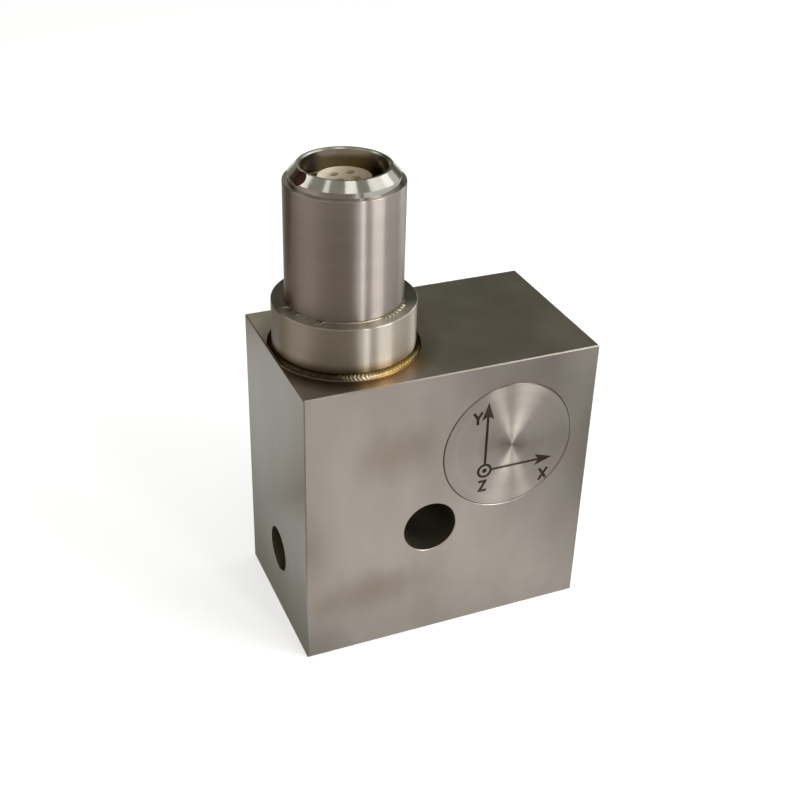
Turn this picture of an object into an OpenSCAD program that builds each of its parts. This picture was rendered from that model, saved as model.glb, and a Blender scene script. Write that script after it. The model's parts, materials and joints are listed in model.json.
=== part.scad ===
// Three-axis vibration sensor: a ground steel block with a welded connector tower.
// Origin at the centre of the block's bottom face, +Z up to the connector, -Y to the lid.
// The sensing axes follow the mark on the lid: x to the right, y up, z out of the lid.

/* [Housing block] */
// Width of the block, left to right
block_w = 35; // [34:0.5:44]
// Depth of the block, front to back
block_d = 20.8; // [20.5:0.1:26]
// Height of the block
block_h = 35; // [34:0.5:45]
// Chamfer on the block's edges
block_edge = 0.12; // [0.05:0.01:0.5]
// Wall left behind the element pocket
back_wall = 3; // [2.6:0.1:4]

/* [Mounting bores] */
// Diameter of the bore from front to back
front_bore_d = 6.4; // [4.5:0.1:6.6]
// Front bore's distance from the block's left face
front_bore_from_left = 15; // [12:0.1:15.3]
// Front bore's distance from the block's bottom
front_bore_from_bottom = 15; // [15:0.1:15.6]
// Diameter of the bore from left to right
side_bore_d = 5.5; // [3.5:0.1:5.9]
// Side bore's distance from the block's bottom
side_bore_from_bottom = 8.5; // [5:0.1:8.7]
// Edge break at the mouths of both bores
bore_edge = 0.06; // [0.02:0.01:0.3]

/* [Lid and element pocket] */
// Diameter of the lid
lid_d = 16; // [15.2:0.1:16.6]
// Thickness of the lid
lid_t = 1.5; // [1:0.1:2]
// Lid centre's distance from the block's right face
lid_from_right = 10.7; // [9:0.1:11]
// Lid centre's distance from the block's top
lid_from_top = 10.9; // [9.4:0.1:11]
// Gap around the lid
lid_gap = 0.04; // [0.01:0.01:0.1]
// Diameter of the pocket behind the lid
pocket_d = 14.4; // [14.2:0.1:15]
// Depth of the axis mark cut in the lid
mark_depth = 0.08; // [0.03:0.01:0.3]

/* [Connector tower] */
// Weld collar's distance from the block's left face
collar_inset = 0.3; // [0.2:0.1:1.2]
// Width of the collar's ledge around the sleeve
ledge_w = 1.5; // [1.2:0.05:1.6]
// Height of the weld collar
collar_h = 5.8; // [4:0.1:8]
// Outer diameter of the sleeve
sleeve_d = 13; // [12.6:0.1:13.8]
// Thickness of the sleeve's wall
sleeve_wall_t = 1.1; // [1:0.05:1.2]
// Height of the sleeve's top above the block
sleeve_top_h = 19.3; // [18.5:0.1:26]
// Leg of the weld bead between collar and block
collar_bead_leg = 0.64; // [0.3:0.02:0.9]
// Leg of the weld bead between sleeve and collar
sleeve_bead_leg = 0.24; // [0.1:0.02:0.5]

/* [Connector] */
// Width of the sleeve's rim that shows around the nose
nose_inset = 0.5; // [0.3:0.05:0.6]
// Height of the straight band at the foot of the nose
nose_band_h = 0.65; // [0.4:0.05:2]
// Height of the cone on the nose
nose_cone_h = 0.98; // [0.9:0.02:1.4]
// Width of the cone on the nose, from the band to the lip
cone_w = 0.97; // [0.85:0.01:1.05]
// Width of the lip around the mouth
lip_w = 0.43; // [0.3:0.01:0.6]
// Length of the shell's barrel inside the sleeve
barrel_l = 11; // [9:0.1:12]
// Diameter of the insulating insert
insert_d = 5.7; // [5:0.1:6.6]
// Depth of the insert's face below the lip
insert_recess = 1.4; // [0.5:0.1:4]
// Diameter of a contact
contact_d = 1; // [0.8:0.05:1.1]

/* [Sensing stacks] */
// Side of the carrier's cube, at most this share of the standoffs' height
cube_share = 0.5; // [0.48:0.01:0.54]
// Diameter of a piezo ring, as a share of the cube's side
piezo_d_share = 0.8; // [0.6:0.01:0.84]
// Thickness of a piezo ring, as a share of the cube's side
piezo_t_share = 0.14; // [0.08:0.01:0.16]
// Diameter of a seismic mass, as a share of the cube's side
mass_d_share = 0.88; // [0.6:0.01:0.92]
// Length of a seismic mass, as a share of the cube's side
mass_l_share = 0.4; // [0.2:0.01:0.44]

/* [Circuit board] */
// Diameter of the board
board_d = 13.6; // [13.2:0.1:13.9]
// Thickness of the board
board_t = 0.8; // [0.5:0.1:1.2]
// Space between the board and the lid
board_room = 4; // [3.6:0.1:4.4]

/* [Leads] */
// Diameter of an output lead
output_lead_d = 0.7; // [0.4:0.05:0.75]
// Diameter of an element lead
element_lead_d = 0.4; // [0.2:0.05:0.5]

/* [Hidden] */
$fn = 72;

// Overrun of every cut past the face it leaves
cut = 0.5;
// Radial gap of every screwed, pressed or bonded fit
fit_gap = 0.02;

function unit(v) = v / norm(v);

// Faces of the block
left_x = -block_w / 2;
right_x = block_w / 2;
front_y = -block_d / 2;
back_y = block_d / 2;

// Centres of the features that the block carries
front_bore_x = left_x + front_bore_from_left;
lid_x = right_x - lid_from_right;
lid_z = block_h - lid_from_top;
collar_d = sleeve_d + 2 * ledge_w;
tower_x = left_x + collar_inset + collar_d / 2;
seat_d = lid_d + 2 * lid_gap;
lid_edge = 0.06;
pocket_floor_y = back_y - back_wall;

// Connector port in the top of the block, and the oblique hole from it into the pocket
sleeve_bore_d = sleeve_d - 2 * sleeve_wall_t;
collar_lip_w = 0.6;
collar_hole_d = sleeve_bore_d - 2 * collar_lip_w;
spigot_wall_t = 1;
port_d = collar_hole_d + 2 * spigot_wall_t;
port_depth = 8;
lead_hole_d = 4;
lead_landing = [-4.6, 0.8];
lead_start = [tower_x, 0, block_h - port_depth + lead_hole_d / 2];
lead_run = [lid_x + lead_landing[0], 0, lid_z + lead_landing[1]] - lead_start;
lead_dir = unit(lead_run);
lead_dip = atan2(-lead_run[2], lead_run[0]);

// Weld collar: a cup that stands on the block, with a spigot in the port
collar_floor_t = 1.2;
spigot_l = 1.5;
collar_edge = 0.15;
ledge_z = block_h + collar_h;
cup_floor_z = block_h + collar_floor_t;

// Weld beads
bead_steps = 6;
collar_bead_flat_x = left_x + block_edge;
tack_turns = [-176, -158, -133];
tack_d = 0.4;
tack_l = 0.85;
lump_turns = [-72, -65, -58, -51, -44];
lump_d = 0.55;
lump_h = 0.28;

// Sleeve and connector shell
sleeve_top_z = block_h + sleeve_top_h;
sleeve_edge = 0.15;
nose_d = sleeve_d - 2 * nose_inset;
lip_d = nose_d - 2 * cone_w;
mouth_d = lip_d - 2 * lip_w;
seal_d = 0.5;
seal_seat_d = sleeve_bore_d + 2 * seal_d;
barrel_d = sleeve_bore_d - 2 * fit_gap;
barrel_end_z = sleeve_top_z - barrel_l;
lip_z = sleeve_top_z + nose_band_h + nose_cone_h;
lip_edge = 0.15;
cone_shrink = 0.1;
latch_depth = 0.25;
latch_h = 0.9;
latch_below_lip = 3.2;
key_w = 1.1;
key_depth = 0.35;
key_l = 5;
key_turn = -165;

// Alignment dot, square to the nose cone
dot_d = 1.6;
dot_recess = 0.2;
dot_t = 0.3;
cone_tilt = atan2(nose_cone_h, (nose_d - cone_shrink - lip_d) / 2);
dot_centre_r = (nose_d - cone_shrink + lip_d) / 4;
dot_centre_z = lip_z - nose_cone_h / 2;

// Insert with the ring around its foot, the contacts, and the nut that holds both in the shell
barrel_wall_t = 0.38;
insert_ring_d = barrel_d - 2 * barrel_wall_t;
insert_ring_t = 2;
nut_t = 1.5;
nut_lip_w = 0.45;
nut_slot_w = 1;
nut_slot_depth = 0.6;
shoulder_z = barrel_end_z + nut_t + insert_ring_t;
insert_foot_z = barrel_end_z + nut_t;
insert_top_z = lip_z - insert_recess;
contact_circle_r = 1.3;
contact_turns = [135, 45, -45, -135];
contact_bore_d = 0.48;
contact_bore_l = 5;
contact_sink = 0.15;
cup_d = 1.2;
cup_l = 2.6;
cup_bore_d = 0.8;
cup_bore_l = 1.6;
cup_end_z = insert_foot_z - cup_l;

// Potting around the leads, in the foot of the sleeve
potting_z = cup_floor_z + 1;
potting_h = 3;

// Carrier and stacks; the stacks stand on the cube's right, upper and front faces
flange_d = 14;
flange_t = 1.5;
cube_pocket_share = 0.35;
standoff_h = block_d - lid_t - board_room - board_t - flange_t - back_wall;
cube_side = min(cube_share * standoff_h, cube_pocket_share * pocket_d);
piezo_d = piezo_d_share * cube_side;
piezo_t = piezo_t_share * cube_side;
mass_d = mass_d_share * cube_side;
mass_l = mass_l_share * cube_side;
stack_outer_turns = [[-90, 0, 0], [0, 0, 0], [90, 0, 0]];
stack_inner_turns = [[0, 90, 0], [0, 0, -90], [0, 0, -90]];
stack_bore_share = 0.4;
stack_bore_d = stack_bore_share * piezo_d;
electrode_t = 0.15;
tab_l = 1;
tab_w = 0.9;
stack_screw_share = 0.75;
stack_screw_d = stack_screw_share * stack_bore_d;
stack_grip_share = 0.34;
stack_screw_grip = stack_grip_share * cube_side;
screw_head_share = 0.5;
screw_head_d = screw_head_share * mass_d;
screw_head_h = 0.5;
screw_slot_w = 0.35;
screw_slot_depth = 0.25;
electrode_level = piezo_t;
outer_piezo_level = piezo_t + electrode_t;
mass_level = 2 * piezo_t + electrode_t;
stack_l = mass_level + mass_l;

// Standoffs, board and what it carries
standoff_turns = [45, 135, 270];
standoff_circle_r = 5.7;
standoff_d = 2.4;
stud_d = 1.2;
stud_grip = 1.6;
board_screw_d = 1;
board_screw_grip = 2.2;
board_screw_head_d = 1.9;
board_hole_d = 1.2;
board_level = flange_t + standoff_h;
board_top_level = board_level + board_t;
chip_size = [2.4, 1.8, 0.9];
capacitor_size = [1, 0.5, 0.5];
resistor_size = [0.8, 0.45, 0.3];
chip_place_shares = [[0.26, -0.04], [0, 0.24], [0, -0.04]];
capacitor_place_shares = [[-0.24, 0.12], [-0.24, 0.04], [-0.24, -0.04], [-0.24, -0.12]];
resistor_place_shares = [[-0.15, -0.22], [-0.05, -0.22], [0.05, -0.22], [0.15, -0.22]];

// Lead routes
lead_sides = 8;
lead_bend_r = 1.6;
lead_bend_steps = 5;
lead_cup_entry = 1;
element_bow = 0.5;
tab_inset = 0.3;
board_back_y = pocket_floor_y - board_level;

// Axis mark, placed from the lid's centre
mark_origin = [-2.8, -2.85];
mark_ring_d = 1.9;
mark_dot_d = 0.6;
mark_line_w = 0.32;
up_arrow_l = 9.1;
right_arrow_l = 8.7;
arrow_head_l = 2.3;
arrow_head_w = 1.55;
arrow_notch_l = 0.5;
letter_size = [1.05, 1.6];
letter_line_w = 0.34;
letter_y_place = [-1.25, 7.2];
letter_x_place = [7.7, -2.2];
letter_z_place = [-0.15, -2.05];

// Colours
steel = [0.62, 0.6, 0.56];
polished = [0.72, 0.71, 0.68];
tinted = [0.62, 0.5, 0.28];
plastic = [0.8, 0.74, 0.62];
gold = [0.83, 0.68, 0.3];
ceramic = [0.88, 0.86, 0.8];
tungsten = [0.42, 0.42, 0.44];
board_green = [0.1, 0.35, 0.2];
chip_black = [0.1, 0.1, 0.11];
lead_colours = ["red", "green", "blue", "white"];

// A box with every edge chamfered, standing on z = 0
module chamfered_box(w, d, h, edge) {
    intersection() {
        linear_extrude(h) cut_rectangle(w, d, edge);
        translate([0, d / 2, h / 2]) rotate([90, 0, 0]) linear_extrude(d) cut_rectangle(w, h, edge);
        translate([-w / 2, 0, h / 2]) rotate([90, 0, 90]) linear_extrude(w) cut_rectangle(d, h, edge);
    }
}

// A centred rectangle with its corners cut off
module cut_rectangle(w, h, edge) {
    polygon([
        for (corner = [[1, 1], [-1, 1], [-1, -1], [1, -1]])
            for (step = corner[0] == corner[1] ? [[0, edge], [edge, 0]] : [[edge, 0], [0, edge]])
                [corner[0] * (w / 2 - step[0]), corner[1] * (h / 2 - step[1])]
    ]);
}

// A bore along Z, centred, with broken edges at both mouths
module through_bore(d, l, edge) {
    cylinder(d = d, h = l + 2 * cut, center = true);
    for (side = [0, 180])
        rotate([side, 0, 0]) translate([0, 0, l / 2 - edge])
            cylinder(d1 = d, d2 = d + 2 * (edge + cut), h = edge + cut);
}

// A ring standing on z = 0
module ring(outer_d, bore_d, h) {
    difference() {
        cylinder(d = outer_d, h = h);
        translate([0, 0, -cut]) cylinder(d = bore_d, h = h + 2 * cut);
    }
}

// Local frame on the lid's axis at depth y, with Z to the front and Y up
module lid_frame(y) {
    translate([lid_x, y, lid_z]) rotate([90, 0, 0]) children();
}

// Local frame on the tower's axis at height z
module tower_frame(z) {
    translate([tower_x, 0, z]) children();
}

module at_standoffs() {
    for (turn = standoff_turns)
        rotate([0, 0, turn]) translate([standoff_circle_r, 0, 0]) children();
}

module housing_block() color(steel) {
    difference() {
        chamfered_box(block_w, block_d, block_h, block_edge);
        translate([front_bore_x, 0, front_bore_from_bottom]) rotate([90, 0, 0])
            through_bore(front_bore_d, block_d, bore_edge);
        translate([0, 0, side_bore_from_bottom]) rotate([0, 90, 0])
            through_bore(side_bore_d, block_w, bore_edge);
        lid_frame(pocket_floor_y) cylinder(d = pocket_d, h = block_d);
        lid_frame(front_y + lid_t) cylinder(d = seat_d, h = lid_t + cut);
        lid_frame(front_y + lid_edge)
            cylinder(d1 = seat_d, d2 = seat_d + 2 * (lid_edge + cut), h = lid_edge + cut);
        tower_frame(block_h - port_depth) cylinder(d = port_d, h = port_depth + cut);
        translate(lead_start) rotate([0, 90 + lead_dip, 0]) cylinder(d = lead_hole_d, h = norm(lead_run));
        lid_frame(pocket_floor_y) at_standoffs()
            translate([0, 0, -stud_grip - fit_gap]) cylinder(d = stud_d + 2 * fit_gap, h = stud_grip + cut);
    }
}

// A straight stroke of the axis mark
module stroke(from, to, w) {
    run = to - from;
    translate(from) rotate(atan2(run[1], run[0])) translate([0, -w / 2]) square([norm(run), w]);
}

module arrow(l, turn) {
    rotate(turn) {
        stroke([(mark_ring_d - mark_line_w) / 2, 0], [l - arrow_head_l + arrow_notch_l, 0], mark_line_w);
        polygon([
            [l, 0], [l - arrow_head_l, arrow_head_w / 2],
            [l - arrow_head_l + arrow_notch_l, 0], [l - arrow_head_l, -arrow_head_w / 2]
        ]);
    }
}

module letter_x() {
    stroke(-letter_size / 2, letter_size / 2, letter_line_w);
    mirror([1, 0]) stroke(-letter_size / 2, letter_size / 2, letter_line_w);
}

module letter_y() {
    stroke([0, -letter_size[1] / 2], [0, letter_line_w / 2], letter_line_w);
    stroke([0, 0], letter_size / 2, letter_line_w);
    mirror([1, 0]) stroke([0, 0], letter_size / 2, letter_line_w);
}

module letter_z() {
    bar_y = (letter_size[1] - letter_line_w) / 2;
    half_w = letter_size[0] / 2;
    for (y = [-bar_y, bar_y])
        stroke([-half_w, y], [half_w, y], letter_line_w);
    stroke([-half_w + letter_line_w / 2, -bar_y], [half_w - letter_line_w / 2, bar_y], letter_line_w);
}

module axis_mark() {
    translate(mark_origin) {
        difference() {
            circle(d = mark_ring_d);
            circle(d = mark_ring_d - 2 * mark_line_w);
        }
        circle(d = mark_dot_d);
        arrow(right_arrow_l, 0);
        arrow(up_arrow_l, 90);
        translate(letter_x_place) letter_x();
        translate(letter_y_place) letter_y();
        translate(letter_z_place) letter_z();
    }
}

module front_lid() color(polished) {
    difference() {
        lid_frame(front_y + lid_t) union() {
            cylinder(d = lid_d, h = lid_t - lid_edge);
            translate([0, 0, lid_t - lid_edge]) cylinder(d1 = lid_d, d2 = lid_d - 2 * lid_edge, h = lid_edge);
        }
        lid_frame(front_y + mark_depth) linear_extrude(mark_depth + cut) axis_mark();
    }
}

module weld_collar() color(steel) {
    cup_d = sleeve_d + 2 * fit_gap;
    difference() {
        tower_frame(block_h) union() {
            cylinder(d = collar_d, h = collar_h - collar_edge);
            translate([0, 0, collar_h - collar_edge])
                cylinder(d1 = collar_d, d2 = collar_d - 2 * collar_edge, h = collar_edge);
            translate([0, 0, -spigot_l]) cylinder(d = port_d - 2 * fit_gap, h = spigot_l);
        }
        tower_frame(cup_floor_z) cylinder(d = cup_d, h = collar_h);
        tower_frame(block_h - spigot_l - cut) cylinder(d = collar_hole_d, h = collar_h + spigot_l);
    }
}

// A convex weld fillet around a cylinder of radius r, standing on z = 0
module weld_fillet(r, leg) {
    rotate_extrude()
        polygon(concat([[r, 0]], [
            for (step = [0:bead_steps])
                let (turn = 90 * step / bead_steps)
                    [r + leg * cos(turn), leg * sin(turn)]
        ]));
}

// The collar's bead ends where the flat of the block's top ends
module collar_weld_bead() color(tinted) {
    intersection() {
        tower_frame(block_h) weld_fillet(collar_d / 2, collar_bead_leg);
        translate([collar_bead_flat_x, front_y, block_h]) cube([block_w, block_d, collar_h]);
    }
}

// Thin fillet with a few radial tacks and a run of lumps, all above the collar's ledge
module sleeve_weld_bead() color(steel) {
    foot_r = sleeve_d / 2 + fit_gap;
    tower_frame(ledge_z) {
        weld_fillet(foot_r, sleeve_bead_leg);
        intersection() {
            for (turn = tack_turns)
                rotate([0, 90, turn]) translate([0, 0, foot_r + fit_gap]) cylinder(d = tack_d, h = tack_l);
            cylinder(d = collar_d, h = collar_h);
        }
        for (turn = lump_turns)
            rotate([0, 0, turn]) translate([foot_r + fit_gap + lump_d / 2, 0, 0])
                cylinder(d1 = lump_d, d2 = lump_d / 2, h = lump_h);
    }
}

module connector_sleeve() color(steel) {
    sleeve_l = sleeve_top_z - cup_floor_z;
    difference() {
        tower_frame(cup_floor_z) union() {
            cylinder(d = sleeve_d, h = sleeve_l - sleeve_edge);
            translate([0, 0, sleeve_l - sleeve_edge])
                cylinder(d1 = sleeve_d, d2 = sleeve_d - 2 * sleeve_edge, h = sleeve_edge);
        }
        tower_frame(cup_floor_z - cut) cylinder(d = sleeve_bore_d, h = sleeve_l + 2 * cut);
        tower_frame(sleeve_top_z - seal_d) cylinder(d = seal_seat_d, h = seal_d + cut);
    }
}

// Local frame of the alignment dot, with Z out of the cone
module dot_frame() {
    rotate([0, 0, key_turn]) translate([dot_centre_r, 0, dot_centre_z]) rotate([0, cone_tilt, 0]) children();
}

module connector_shell() color(polished) {
    nose_r = nose_d / 2;
    barrel_r = barrel_d / 2;
    mouth_r = mouth_d / 2;
    latch_z = lip_z - latch_below_lip;
    difference() {
        tower_frame(0) rotate_extrude() polygon([
            [mouth_r, shoulder_z], [insert_ring_d / 2, shoulder_z],
            [insert_ring_d / 2, barrel_end_z], [barrel_r, barrel_end_z],
            [barrel_r, sleeve_top_z], [nose_r, sleeve_top_z],
            [nose_r - cone_shrink / 2, sleeve_top_z + nose_band_h], [lip_d / 2, lip_z],
            [mouth_r + lip_edge, lip_z], [mouth_r, lip_z - lip_edge],
            [mouth_r, latch_z + latch_h], [mouth_r + latch_depth, latch_z + latch_h - latch_depth],
            [mouth_r + latch_depth, latch_z], [mouth_r, latch_z]
        ]);
        tower_frame(lip_z - key_l) rotate([0, 0, key_turn])
            translate([0, -key_w / 2, 0]) cube([mouth_r + key_depth, key_w, key_l - dot_d]);
        tower_frame(0) dot_frame() translate([0, 0, -dot_recess - dot_t]) cylinder(d = dot_d, h = dot_d);
    }
}

module alignment_dot() color("darkred") {
    tower_frame(0) dot_frame() translate([0, 0, -dot_recess - dot_t])
        cylinder(d = dot_d - 2 * fit_gap, h = dot_t);
}

module nose_seal() color(chip_black) {
    seal_r = (sleeve_bore_d + seal_d) / 2;
    tower_frame(sleeve_top_z - seal_d / 2) rotate_extrude()
        translate([seal_r, 0]) circle(d = seal_d - 2 * fit_gap, $fn = 24);
}

// Places of the contacts, from the tower's axis
function contact_place(i) = contact_circle_r * [cos(contact_turns[i]), sin(contact_turns[i])];

module connector_insert() color(plastic) {
    difference() {
        tower_frame(insert_foot_z) cylinder(d = insert_d, h = insert_top_z - insert_foot_z);
        tower_frame(insert_foot_z - cut) for (i = [0:3])
            translate(contact_place(i)) cylinder(d = contact_d + 2 * fit_gap, h = lip_z - insert_foot_z);
    }
}

module insert_ring() color(plastic) {
    tower_frame(insert_foot_z)
        ring(insert_ring_d - 2 * fit_gap, insert_d + 2 * fit_gap, insert_ring_t);
}

module contact(i) color(gold) {
    tower_frame(0) translate(contact_place(i)) difference() {
        union() {
            translate([0, 0, cup_end_z]) cylinder(d = cup_d, h = cup_l);
            translate([0, 0, cup_end_z]) cylinder(d = contact_d, h = insert_top_z - contact_sink - cup_end_z);
        }
        translate([0, 0, cup_end_z - cut]) cylinder(d = cup_bore_d, h = cup_bore_l + cut);
        translate([0, 0, insert_top_z - contact_sink - contact_bore_l])
            cylinder(d = contact_bore_d, h = contact_bore_l + cut);
    }
}

module retaining_nut() color(gold) {
    nut_d = insert_ring_d - 2 * fit_gap;
    tower_frame(barrel_end_z) difference() {
        ring(nut_d, insert_d - 2 * nut_lip_w, nut_t);
        translate([-nut_d / 2 - cut, -nut_slot_w / 2, -cut])
            cube([nut_d + 2 * cut, nut_slot_w, nut_slot_depth + cut]);
    }
}

module potting_plug() color(tinted) {
    tower_frame(potting_z) difference() {
        cylinder(d = sleeve_bore_d - 2 * fit_gap, h = potting_h);
        for (i = [0:3])
            translate(contact_place(i)) translate([0, 0, -cut])
                cylinder(d = output_lead_d + 2 * fit_gap, h = potting_h + 2 * cut);
    }
}

// A polyline with each inner corner turned into a curve that starts r before it
function rounded(points, r) = concat([points[0]], [
    for (i = [1:len(points) - 2])
        let (corner = points[i],
            from = corner + r * unit(points[i - 1] - corner),
            to = corner + r * unit(points[i + 1] - corner))
            for (step = [0:lead_bend_steps])
                let (t = step / lead_bend_steps)
                    (1 - t) * (1 - t) * from + 2 * t * (1 - t) * corner + t * t * to
], [points[len(points) - 1]]);

// Direction of a path at its point i
function path_dir(path, i) = unit(path[min(i + 1, len(path) - 1)] - path[max(i - 1, 0)]);

// Points of a ring of the given radius around path point i
function ring_points(path, i, r) =
    let (along = path_dir(path, i), side = unit(cross(along, [1, 0, 0])), up = cross(side, along))
        [for (k = [0:lead_sides - 1]) let (a = 360 * k / lead_sides) path[i] + r * (cos(a) * side + sin(a) * up)];

// A round wire along a path that never runs straight along X
module wire(path, d) {
    last = len(path) - 1;
    points = [for (i = [0:last]) each ring_points(path, i, d / 2)];
    sides = [
        for (i = [0:last - 1]) for (k = [0:lead_sides - 1])
            let (a = i * lead_sides + k, b = i * lead_sides + (k + 1) % lead_sides)
                each [[a, b, b + lead_sides], [a, b + lead_sides, a + lead_sides]]
    ];
    start = [for (k = [lead_sides - 1:-1:0]) k];
    finish = [for (k = [0:lead_sides - 1]) last * lead_sides + k];
    polyhedron(points, concat([start], sides, [finish]));
}

// From a contact down the tower, through the lead hole and forward to the board
module output_lead(i) color(lead_colours[i]) {
    place = contact_place(i);
    across = [-lead_dir[2], 0, lead_dir[0]];
    place_slope = lead_dir[0] / (1 - lead_dir[2]);
    in_board = lead_start + lead_run + place[0] * across + place[1] * lead_dir;
    wire(rounded([
        [tower_x + place[0], place[1], cup_end_z + lead_cup_entry],
        [tower_x + place[0], place[1], lead_start[2] + place[0] * place_slope],
        in_board + [0, place[1], 0],
        [in_board[0], board_back_y, in_board[2]]
    ], lead_bend_r), output_lead_d);
}

module element_carrier() color(steel) {
    difference() {
        lid_frame(pocket_floor_y) union() {
            cylinder(d = flange_d, h = flange_t);
            translate([-cube_side / 2, -cube_side / 2, 0]) cube([cube_side, cube_side, flange_t + cube_side]);
        }
        lid_frame(pocket_floor_y) at_standoffs() translate([0, 0, -cut])
            cylinder(d = stud_d + 2 * fit_gap, h = flange_t + 2 * cut);
        for (axis = [0:2])
            stack_frame(axis, -stack_screw_grip - fit_gap)
                cylinder(d = stack_screw_d + 2 * fit_gap, h = stack_screw_grip + cut);
    }
}

// Local frame of a stack, with Z out of the cube's face and X to the electrode's tab
module stack_frame(axis, level) {
    translate([lid_x, pocket_floor_y - flange_t - cube_side / 2, lid_z])
        rotate(stack_outer_turns[axis]) rotate(stack_inner_turns[axis])
            translate([0, 0, cube_side / 2 + level]) children();
}

module piezo_ring(axis, level) color(ceramic) {
    stack_frame(axis, level) ring(piezo_d, stack_bore_d, piezo_t);
}

module electrode(axis) color(gold) {
    stack_frame(axis, electrode_level) difference() {
        union() {
            cylinder(d = piezo_d, h = electrode_t);
            translate([0, -tab_w / 2, 0]) cube([piezo_d / 2 + tab_l, tab_w, electrode_t]);
        }
        translate([0, 0, -cut]) cylinder(d = stack_bore_d, h = electrode_t + 2 * cut);
    }
}

module seismic_mass(axis) color(tungsten) {
    stack_frame(axis, mass_level) ring(mass_d, stack_bore_d, mass_l);
}

// A slotted cap screw whose head stands on z = 0 and whose shank hangs below
module cap_screw(shank_d, shank_l, head_d) {
    difference() {
        union() {
            cylinder(d = head_d, h = screw_head_h);
            translate([0, 0, -shank_l]) cylinder(d = shank_d, h = shank_l + screw_head_h);
        }
        translate([-head_d / 2 - cut, -screw_slot_w / 2, screw_head_h - screw_slot_depth])
            cube([head_d + 2 * cut, screw_slot_w, screw_slot_depth + cut]);
    }
}

module preload_screw(axis) color(polished) {
    stack_frame(axis, stack_l) cap_screw(stack_screw_d, stack_l + stack_screw_grip, screw_head_d);
}

// From an electrode's tab forward to the board, with a small bow away from the stacks
module element_lead(axis) color(lead_colours[axis]) {
    half = cube_side / 2;
    cube_y = pocket_floor_y - flange_t - half;
    tab_reach = piezo_d / 2 + tab_l;
    out = half + electrode_level + electrode_t / 2;
    starts = [
        [lid_x + out, cube_y - tab_reach, lid_z],
        [lid_x, cube_y - tab_reach, lid_z + out],
        [lid_x, cube_y - out - electrode_t / 2, lid_z - tab_reach + tab_inset]
    ];
    bow_dirs = [[1, 0, 0], [0, 0, 1], [0, 0, -1]];
    start = starts[axis];
    run = [0, board_back_y - start[1], 0];
    wire(rounded([
        start,
        start + run / 4,
        start + run / 2 + element_bow * bow_dirs[axis],
        start + run * 3 / 4,
        start + run
    ], element_bow), element_lead_d);
}

module board_standoffs() color(gold) {
    lid_frame(pocket_floor_y) at_standoffs() difference() {
        union() {
            translate([0, 0, flange_t]) cylinder(d = standoff_d, h = standoff_h, $fn = 6);
            translate([0, 0, -stud_grip]) cylinder(d = stud_d, h = stud_grip + flange_t + cut);
        }
        translate([0, 0, board_level - board_screw_grip - fit_gap])
            cylinder(d = board_screw_d + 2 * fit_gap, h = board_screw_grip + cut);
    }
}

module circuit_board() color(board_green) {
    lid_frame(pocket_floor_y - board_level) difference() {
        cylinder(d = board_d, h = board_t);
        at_standoffs() translate([0, 0, -cut]) cylinder(d = board_hole_d, h = board_t + 2 * cut);
    }
}

module board_screws() color(polished) {
    lid_frame(pocket_floor_y - board_top_level) at_standoffs()
        cap_screw(board_screw_d, board_t + board_screw_grip, board_screw_head_d);
}

// A box-shaped component on the front of the board
module on_board(place_share, size) {
    lid_frame(pocket_floor_y - board_top_level) translate(board_d * place_share)
        translate([-size[0] / 2, -size[1] / 2, 0]) cube(size);
}

module amplifier(axis) color(chip_black) {
    on_board(chip_place_shares[axis], chip_size);
}

module board_capacitors() color(plastic) {
    for (place_share = capacitor_place_shares)
        on_board(place_share, capacitor_size);
}

module board_resistors() color(chip_black) {
    for (place_share = resistor_place_shares)
        on_board(place_share, resistor_size);
}

housing_block();
front_lid();
weld_collar();
collar_weld_bead();
sleeve_weld_bead();
connector_sleeve();
connector_shell();
alignment_dot();
nose_seal();
connector_insert();
insert_ring();
retaining_nut();
contact(0);  // contact_x
contact(1);  // contact_y
contact(2);  // contact_z
contact(3);  // contact_common
potting_plug();
output_lead(0);  // output_lead_x
output_lead(1);  // output_lead_y
output_lead(2);  // output_lead_z
output_lead(3);  // output_lead_common
element_carrier();
piezo_ring(0, 0);  // x_inner_piezo
electrode(0);  // x_electrode
piezo_ring(0, outer_piezo_level);  // x_outer_piezo
seismic_mass(0);  // x_seismic_mass
preload_screw(0);  // x_preload_screw
piezo_ring(1, 0);  // y_inner_piezo
electrode(1);  // y_electrode
piezo_ring(1, outer_piezo_level);  // y_outer_piezo
seismic_mass(1);  // y_seismic_mass
preload_screw(1);  // y_preload_screw
piezo_ring(2, 0);  // z_inner_piezo
electrode(2);  // z_electrode
piezo_ring(2, outer_piezo_level);  // z_outer_piezo
seismic_mass(2);  // z_seismic_mass
preload_screw(2);  // z_preload_screw
element_lead(0);  // element_lead_x
element_lead(1);  // element_lead_y
element_lead(2);  // element_lead_z
board_standoffs();
circuit_board();
amplifier(0);  // amplifier_x
amplifier(1);  // amplifier_y
amplifier(2);  // amplifier_z
board_capacitors();
board_resistors();
board_screws();
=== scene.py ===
import bpy
import bmesh
import json
import math
from mathutils import Matrix, Vector, noise


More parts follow.
